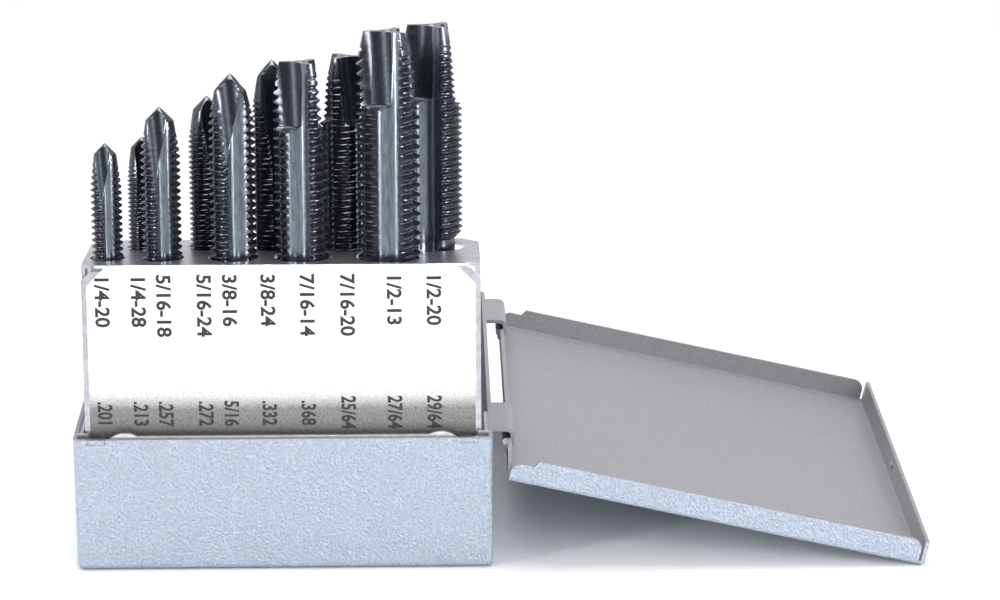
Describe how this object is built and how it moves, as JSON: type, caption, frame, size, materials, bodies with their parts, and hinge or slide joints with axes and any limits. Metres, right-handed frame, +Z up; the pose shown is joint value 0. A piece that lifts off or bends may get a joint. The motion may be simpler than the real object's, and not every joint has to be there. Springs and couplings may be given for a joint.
{
  "type": "folding tap index case",
  "caption": "Small sheet-metal case for threading taps: a shallow tray with a hinged lid lying open and a fold-up rack that stands hand taps in graded sizes behind a numbered face plate.",
  "frame": {"origin": "centre of the tray's flat underside, on the surface the case stands on", "axes": "X to the right toward the lid's hinge, Y away from the front wall, Z up"},
  "size_m": [0.1725, 0.0962, 0.1073],
  "materials": {
    "painted_steel": "light blue-grey hammered enamel",
    "painted_steel_inside": "smooth grey enamel inside, hammered enamel outside",
    "zinc_plate": "bright zinc plating",
    "satin_zinc": "satin zinc with printed black numbers",
    "bright_steel": "drawn steel",
    "black_oxide": "black oxide over ground tool steel"
  },
  "bodies": {
    "tray": {"case_tray": "painted_steel", "pivot_bracket": "zinc_plate"},
    "hinge_link": {"hinge_pins": "bright_steel"},
    "lid": {"lid": "painted_steel_inside"},
    "rack": {"rack_channel": "zinc_plate", "label_plate": "satin_zinc", "pivot_rivet_left": "bright_steel", "pivot_rivet_right": "bright_steel"},
    "tap_1_4_20": {"tap_1_4_20": "black_oxide"},
    "tap_1_4_28": {"tap_1_4_28": "black_oxide"},
    "tap_5_16_18": {"tap_5_16_18": "black_oxide"},
    "tap_5_16_24": {"tap_5_16_24": "black_oxide"},
    "tap_3_8_16": {"tap_3_8_16": "black_oxide"},
    "tap_3_8_24": {"tap_3_8_24": "black_oxide"},
    "tap_7_16_14": {"tap_7_16_14": "black_oxide"},
    "tap_7_16_20": {"tap_7_16_20": "black_oxide"},
    "tap_1_2_13": {"tap_1_2_13": "black_oxide"},
    "tap_1_2_20": {"tap_1_2_20": "black_oxide"}
  },
  "joints": [
    {"name": "lid_swing", "type": "hinge", "parent": "tray", "child": "hinge_link", "pos_m": [0.0448, 0, 0.0251], "axis": [0, 1, 0], "range_deg": [-102.8, 0]},
    {"name": "lid_close", "type": "hinge", "parent": "hinge_link", "child": "lid", "pos_m": [0.0448, 0, 0.0251], "axis": [0, 1, 0], "range_deg": [-90, 0]},
    {"name": "rack_fold", "type": "hinge", "parent": "tray", "child": "rack", "pos_m": [0, -0.0397, 0.0242], "axis": [1, 0, 0], "range_deg": [-84, 0]},
    {"name": "tap_1_4_20_lift", "type": "slide", "parent": "rack", "child": "tap_1_4_20", "axis": [0, 0.1045, 0.9945], "range_m": [0, 0.042]},
    {"name": "tap_1_4_28_lift", "type": "slide", "parent": "rack", "child": "tap_1_4_28", "axis": [0, 0.1045, 0.9945], "range_m": [0, 0.042]},
    {"name": "tap_5_16_18_lift", "type": "slide", "parent": "rack", "child": "tap_5_16_18", "axis": [0, 0.1045, 0.9945], "range_m": [0, 0.042]},
    {"name": "tap_5_16_24_lift", "type": "slide", "parent": "rack", "child": "tap_5_16_24", "axis": [0, 0.1045, 0.9945], "range_m": [0, 0.042]},
    {"name": "tap_3_8_16_lift", "type": "slide", "parent": "rack", "child": "tap_3_8_16", "axis": [0, 0.1045, 0.9945], "range_m": [0, 0.042]},
    {"name": "tap_3_8_24_lift", "type": "slide", "parent": "rack", "child": "tap_3_8_24", "axis": [0, 0.1045, 0.9945], "range_m": [0, 0.042]},
    {"name": "tap_7_16_14_lift", "type": "slide", "parent": "rack", "child": "tap_7_16_14", "axis": [0, 0.1045, 0.9945], "range_m": [0, 0.042]},
    {"name": "tap_7_16_20_lift", "type": "slide", "parent": "rack", "child": "tap_7_16_20", "axis": [0, 0.1045, 0.9945], "range_m": [0, 0.042]},
    {"name": "tap_1_2_13_lift", "type": "slide", "parent": "rack", "child": "tap_1_2_13", "axis": [0, 0.1045, 0.9945], "range_m": [0, 0.042]},
    {"name": "tap_1_2_20_lift", "type": "slide", "parent": "rack", "child": "tap_1_2_20", "axis": [0, 0.1045, 0.9945], "range_m": [0, 0.042]}
  ]
}
